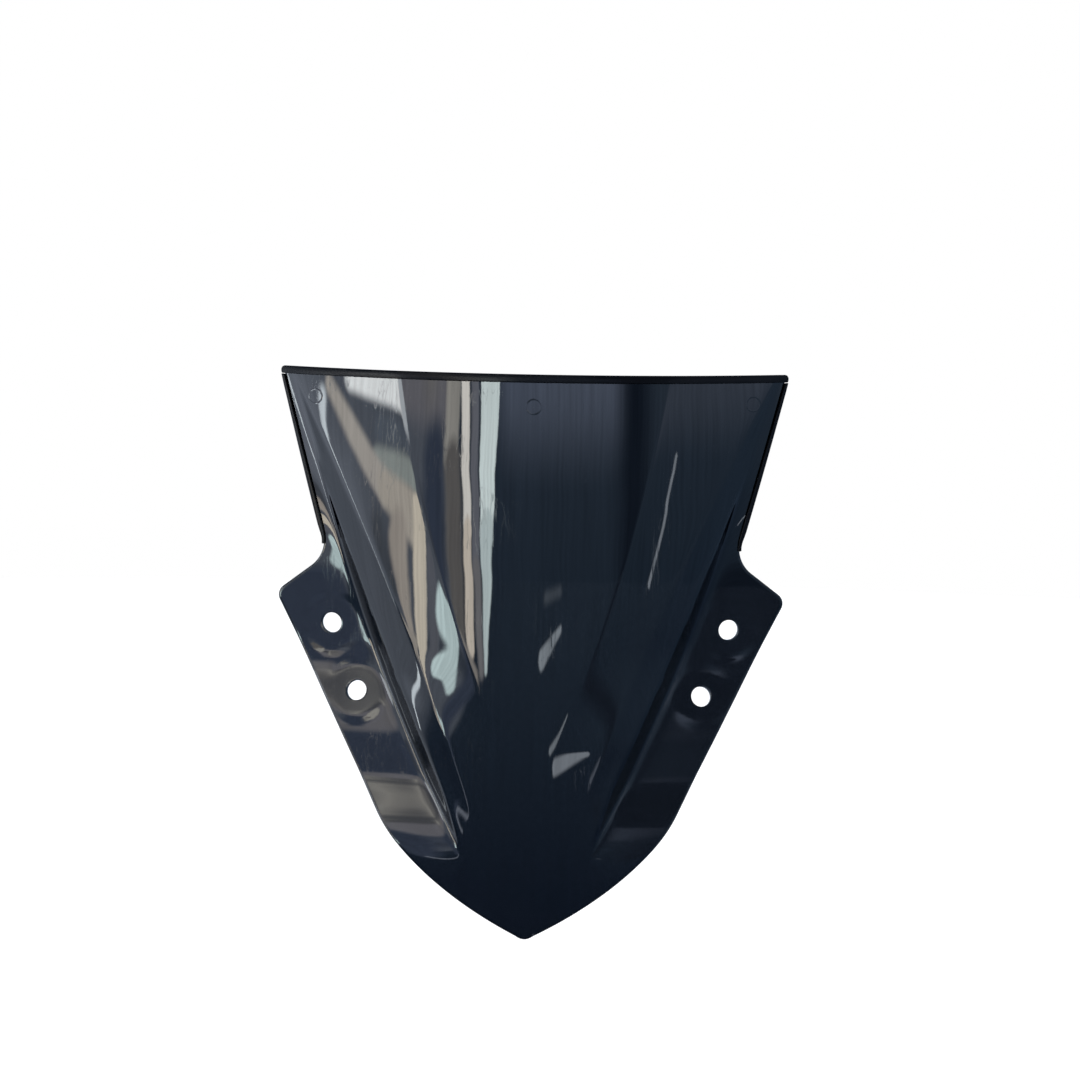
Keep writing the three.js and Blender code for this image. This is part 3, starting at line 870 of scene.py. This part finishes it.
# (from, to, half width at each end, softness, colour), laid over each other in this order
SOFT_CARDS = (
    # ceiling wash
    ((-6, 15.5), (24, 15.5), (5.0, 5.0), 4.5, (0.95, 1.15, 1.60)),
    ((46, 9.5), (76, 8.0), (3.0, 3.0), 3.0, (0.50, 0.62, 0.85)),
    ((20, 24), (60, 24), (8.5, 8.5), 1.0, (0.06, 0.09, 0.15)),
    ((30.5, -14), (30.5, 16), (4.0, 4.2), 3.8, (0.08, 0.12, 0.20)),
    # behind the screen on the left
    ((-100, -10), (-175, -10), (30.0, 30.0), 8.0, (0.80, 0.92, 1.12)),
    # left wall and its upper part
    ((-34, 1), (-84, 1), (12.5, 12.5), 1.5, (1.00, 1.15, 1.40)),
    ((-70, -4), (-84, 0), (7.0, 10.0), 4.0, (1.60, 1.80, 2.15)),
    ((-28, 13.5), (-42, 13.5), (3.0, 3.0), 1.5, (1.70, 1.70, 1.90)),
    ((-36, 1), (-29, 1.5), (3.5, 3.5), 2.0, (0.55, 0.65, 0.85)),
    # far window, its reveal and the boards below it
    ((-52, 9.6), (-67, 8.6), (2.4, 1.3), 0.5, (11.0, 11.4, 11.5)),
    ((-50, 8.5), (-44, 10.5), (2.4, 3.2), 1.0, (5.60, 6.00, 6.40)),
    ((-60, 5.4), (-50, 5.2), (0.9, 1.0), 0.4, (1.10, 1.30, 1.60)),
    ((-60, 2.8), (-49, 2.4), (1.2, 1.5), 0.6, (3.30, 3.70, 3.55)),
    ((-72, 7.2), (-58, 0.8), (0.7, 1.5), 0.5, (5.00, 4.70, 4.30)),
    ((-58, 0.8), (-49, -1.5), (1.5, 2.4), 0.6, (5.20, 4.80, 4.20)),
    ((-54.5, -3), (-52.5, -10), (2.4, 1.6), 0.7, (4.40, 4.00, 3.55)),
    ((-59, -12), (-50, -12), (1.0, 1.2), 0.6, (4.00, 3.70, 3.30)),
    ((-48.4, -1), (-48.3, -11.5), (2.0, 1.5), 0.4, (7.80, 7.10, 5.90)),
    ((-60, -3), (-57, -7), (1.8, 1.8), 1.2, (0.70, 0.80, 0.95)),
    ((-44.9, -4), (-44.6, -13), (1.3, 1.2), 0.4, (1.30, 1.40, 1.65)),
    ((-41.5, -8.5), (-39, -9.5), (2.6, 2.6), 0.5, (7.40, 9.20, 9.30)),
    ((-39, -9.5), (-34.5, -7.6), (2.6, 1.6), 0.6, (6.60, 8.20, 8.30)),
    ((-29.5, -15), (-29.5, 8), (2.9, 3.0), 1.6, (0.42, 0.55, 0.85)),
    # near doorway: frame, warm strip, frame and bright strip
    ((-24.7, 16), (-24.7, 9), (2.1, 2.0), 0.5, (3.80, 3.70, 3.40)),
    ((-24.0, 7.5), (-22.3, -5), (2.3, 2.2), 0.8, (1.40, 1.35, 1.30)),
    ((-21.4, 16), (-19.3, 3), (1.2, 1.1), 0.3, (9.50, 9.20, 8.60)),
    ((-19.3, 3), (-18.4, -6), (1.1, 1.4), 0.35, (7.80, 7.00, 6.00)),
    ((-22.5, -6.4), (-17, -8.8), (0.9, 0.9), 0.5, (3.00, 2.80, 2.60)),
    ((-18.4, 16), (-16.5, 0), (1.1, 1.0), 0.35, (1.70, 1.80, 2.10)),
    ((-16.5, 0), (-14.8, -8), (1.0, 0.9), 0.5, (2.00, 2.00, 2.10)),
    ((-13.6, 16), (-13.6, 3), (2.9, 1.9), 0.25, (9.00, 10.3, 10.3)),
    ((-13.6, 3), (-13.3, -8), (1.9, 0.4), 0.3, (6.60, 7.80, 7.90)),
    # high on the left, seen in the left wing
    ((-40, 24), (-26, 24), (8.0, 8.0), 1.5, (0.70, 0.75, 0.85)),
    ((-20, 24), (-6, 24), (8.0, 8.0), 1.0, (0.30, 0.38, 0.46)),
    ((-31.5, 14), (-29.5, 36), (1.4, 2.0), 3.0, (1.90, 1.85, 1.80)),
    ((-29.6, 15), (-28.9, 34), (0.25, 0.5), 0.9, (3.60, 3.50, 3.20)),
    ((-32, 18.4), (-27, 18.4), (0.6, 0.6), 1.8, (0.75, 0.80, 0.90)),
    ((-75, -14), (-73.5, 6), (0.9, 0.9), 0.5, (7.60, 8.40, 9.00)),
    # small lamps and their streaks
    ((56.5, 3.8), (50, -6.2), (0.25, 0.30), 0.15, (2.60, 2.90, 3.30)),
    ((3.4, -7.1), (9.0, -4.6), (0.90, 0.35), 0.25, (3.00, 3.40, 3.80)),
    ((6.8, -14.6), (12.6, -12.0), (0.35, 0.25), 0.20, (2.20, 2.50, 2.80)),
    ((8.5, -15.9), (18.2, -14.2), (0.75, 0.55), 0.25, (2.60, 2.90, 3.30)),
    ((20.5, -17.2), (24.0, -16.0), (0.60, 0.60), 0.60, (1.00, 1.15, 1.45)),
    ((4.0, -2.0), (8.5, -1.4), (0.50, 0.40), 0.50, (0.70, 0.85, 1.05)),
    ((-29, -17), (-22, -19.5), (0.45, 0.45), 0.40, (1.60, 1.80, 2.20)),
    ((126, -22), (132, -22), (2.20, 2.20), 0.40, (4.20, 4.40, 4.70)),
)
SWAY = 1.6  # the cards' edges wander this many degrees
SWAY_SCALE = 0.2
STREAK_STRETCH = (1.3, 0.10, 0.0)  # the room's tone varies in upright streaks
STREAK_DEPTH = 0.5


def card_mask_group():
    """1 inside a soft, tapered strip of directions with round ends, 0 outside it."""
    group, given, result = new_group(
        "soft_card",
        (
            ("Direction", "NodeSocketVector", None),
            ("From", "NodeSocketVector", None),
            ("To", "NodeSocketVector", None),
            ("Start Width", "NodeSocketFloat", 1.0),
            ("End Width", "NodeSocketFloat", 1.0),
            ("Softness", "NodeSocketFloat", 0.5),
        ),
        (("Mask", "NodeSocketFloat"),),
    )
    link = group.links.new

    def vector(operation, first, second):
        made = node(group, "ShaderNodeVectorMath", operation=operation)
        link(first, made.inputs[0])
        link(second, made.inputs["Scale" if operation == "SCALE" else 1])
        return made

    along = vector("SUBTRACT", given.outputs["To"], given.outputs["From"]).outputs[0]
    offset = vector("SUBTRACT", given.outputs["Direction"], given.outputs["From"]).outputs[0]
    reach = vector("DOT_PRODUCT", offset, along).outputs["Value"]
    square = vector("DOT_PRODUCT", along, along).outputs["Value"]
    share = math_node(group, "DIVIDE", reach, square, clamp=True)
    nearest = vector("SCALE", along, share).outputs[0]
    away = vector("DISTANCE", offset, nearest).outputs["Value"]
    spread = math_node(group, "SUBTRACT", given.outputs["End Width"], given.outputs["Start Width"])
    width = math_node(group, "MULTIPLY_ADD", share, spread, given.outputs["Start Width"])
    inside = math_node(group, "SUBTRACT", width, away)
    fade = node(group, "ShaderNodeMapRange", interpolation_type="SMOOTHSTEP")
    link(inside, fade.inputs["Value"])
    link(math_node(group, "MULTIPLY", given.outputs["Softness"], -1.0), fade.inputs["From Min"])
    link(given.outputs["Softness"], fade.inputs["From Max"])
    link(fade.outputs["Result"], result.inputs["Mask"])
    return group


def mix_colour(tree, factor, first, second):
    """Mixes two colours or sockets, and returns the mix."""
    made = node(tree, "ShaderNodeMix", data_type="RGBA")
    for label, value in (("Factor", factor), ("A", first), ("B", second)):
        if isinstance(value, tuple):
            made.inputs[label].default_value = (*value[:3], 1.0)
        else:
            tree.links.new(value, made.inputs[label])
    return made.outputs["Result"]


def wall_tone(tree, height):
    """The room's dim wall, lighter towards the ceiling."""
    low, high = WALL_TONES[0][0], WALL_TONES[-1][0]
    bands = tree.nodes.new("ShaderNodeValToRGB")
    ramp_stops = bands.color_ramp.elements
    for angle, tone in WALL_TONES[1:-1]:
        ramp_stops.new((angle - low) / (high - low)).color = (*tone, 1.0)
    ramp_stops[0].color = (*WALL_TONES[0][1], 1.0)
    ramp_stops[-1].color = (*WALL_TONES[-1][1], 1.0)
    share = math_node(tree, "MULTIPLY_ADD", height, 1.0 / (high - low), -low / (high - low))
    tree.links.new(share, bands.inputs["Fac"])
    return bands.outputs["Color"]


def make_room():
    """White all round to look at; in the gloss, a dim room with soft cards mostly on its left."""
    world = bpy.data.worlds.new("studio_room")
    world.cycles.sampling_method = "NONE"
    bpy.context.scene.world = world
    world.use_nodes = True
    tree = world.node_tree
    tree.nodes.clear()
    place = tree.nodes.new("ShaderNodeTexCoord").outputs["Generated"]
    split = tree.nodes.new("ShaderNodeSeparateXYZ")
    tree.links.new(place, split.inputs[0])
    ahead = math_node(tree, "MULTIPLY", split.outputs["Y"], -1.0)
    azimuth = math_node(tree, "DEGREES", math_node(tree, "ARCTAN2", split.outputs["X"], ahead))
    height = math_node(tree, "DEGREES", math_node(tree, "ARCSINE", split.outputs["Z"]))
    wave = node(
        tree, "ShaderNodeTexNoise", noise_dimensions="1D", in_Scale=SWAY_SCALE, in_Detail=2.0
    )
    tree.links.new(height, wave.inputs["W"])
    sway = math_node(tree, "MULTIPLY_ADD", wave.outputs[0], SWAY, -SWAY / 2.0)
    direction = tree.nodes.new("ShaderNodeCombineXYZ")
    tree.links.new(math_node(tree, "ADD", azimuth, sway), direction.inputs["X"])
    tree.links.new(height, direction.inputs["Y"])

    card_mask = card_mask_group()
    room = wall_tone(tree, height)
    for start, end, widths, softness, colour in SOFT_CARDS:
        card = use_group(tree, card_mask, From=(*start, 0.0), To=(*end, 0.0), Softness=softness)
        card.inputs["Start Width"].default_value = widths[0]
        card.inputs["End Width"].default_value = widths[1]
        tree.links.new(direction.outputs[0], card.inputs["Direction"])
        room = mix_colour(tree, card.outputs["Mask"], room, colour)

    grain = node(tree, "ShaderNodeTexNoise", noise_dimensions="2D", in_Scale=1.0, in_Detail=3.0)
    stretch = node(tree, "ShaderNodeVectorMath", operation="MULTIPLY")
    stretch.inputs[1].default_value = STREAK_STRETCH
    tree.links.new(direction.outputs[0], stretch.inputs[0])
    tree.links.new(stretch.outputs[0], grain.inputs["Vector"])
    tone = math_node(tree, "MULTIPLY_ADD", grain.outputs[0], STREAK_DEPTH, 1.0 - STREAK_DEPTH / 2.0)

    glow = tree.nodes.new("ShaderNodeBackground")
    tree.links.new(room, glow.inputs["Color"])
    tree.links.new(tone, glow.inputs["Strength"])
    plain = tree.nodes.new("ShaderNodeBackground")
    plain.inputs["Color"].default_value = (1.0, 1.0, 1.0, 1.0)
    rays = tree.nodes.new("ShaderNodeLightPath")
    choose = tree.nodes.new("ShaderNodeMixShader")
    tree.links.new(rays.outputs["Is Glossy Ray"], choose.inputs["Fac"])
    tree.links.new(plain.outputs[0], choose.inputs[1])
    tree.links.new(glow.outputs[0], choose.inputs[2])
    output = tree.nodes.new("ShaderNodeOutputWorld")
    tree.links.new(choose.outputs[0], output.inputs["Surface"])


FLOOR_RADIUS = 4.0
FLOOR_BELOW = 0.16  # under the chin of the screen
FLOOR_TONES = ((0.93, 0.93, 0.93, 1.0), (0.97, 0.97, 0.97, 1.0))


def make_floor():
    """A plain pale floor that the gloss doesn't show."""
    bm = bmesh.new()
    bmesh.ops.create_circle(bm, cap_ends=True, segments=96, radius=FLOOR_RADIUS)
    mesh = bpy.data.meshes.new("pale_floor")
    bm.to_mesh(mesh)
    bm.free()
    material, tree, shader = new_material("pale_floor")
    grain = node(tree, "ShaderNodeTexNoise", in_Scale=6.0, in_Detail=3.0)
    tone = mix_colour(tree, grain.outputs[0], *FLOOR_TONES)
    tree.links.new(tone, shader.inputs["Base Color"])
    shader.inputs["Roughness"].default_value = 0.9
    shader.inputs["Emission Color"].default_value = (1.0, 1.0, 1.0, 1.0)
    shader.inputs["Emission Strength"].default_value = 0.25
    mesh.materials.append(material)
    floor = bpy.data.objects.new("pale_floor", mesh)
    floor.location.z = CAD_LOW.z - FLOOR_BELOW
    floor.visible_glossy = False
    bpy.context.collection.objects.link(floor)
    floor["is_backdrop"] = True


CAMERA_DISTANCE = 1.6
CAMERA_ELEVATION = math.radians(4.5)
CAMERA_ROLL = math.radians(1.1)
CAMERA_VIEW = 0.6696  # width of the view at the screen
CAMERA_AIM = Vector((0.0052, -0.0194, 0.07725))


def make_camera():
    data = bpy.data.cameras.new("front_camera")
    data.lens = data.sensor_width / 2.0 * CAMERA_DISTANCE / (CAMERA_VIEW / 2.0)
    camera = bpy.data.objects.new("front_camera", data)
    arm = Vector((0.0, -math.cos(CAMERA_ELEVATION), math.sin(CAMERA_ELEVATION)))
    facing = (-arm).to_track_quat("-Z", "Y").to_matrix().to_4x4()
    roll = Matrix.Rotation(CAMERA_ROLL, 4, "Z")
    camera.matrix_world = Matrix.Translation(CAMERA_AIM + arm * CAMERA_DISTANCE) @ facing @ roll
    bpy.context.collection.objects.link(camera)
    bpy.context.scene.camera = camera


# ---- Assembly --------------------------------------------------------------------------------
make_camera()
make_room()
make_floor()
bpy.context.scene.view_settings.view_transform = "Standard"

hair_marks = fine_scratches_group()
blotches = varied_tone_group()
smoke = smoked_polycarbonate(hair_marks, blotches, witness_ring_group())
trim_black = black_trim(hair_marks, blotches)
make_panel(smoke)
make_top_trim(trim_black)
make_side_trim(-1.0, "left_edge_strip", trim_black, "left_edge_trim")
make_side_trim(1.0, "right_edge_strip", trim_black, "right_edge_trim")

low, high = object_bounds()
sizes = {"cad": [list(CAD_LOW), list(CAD_HIGH)], "visual": [list(low), list(high)]}
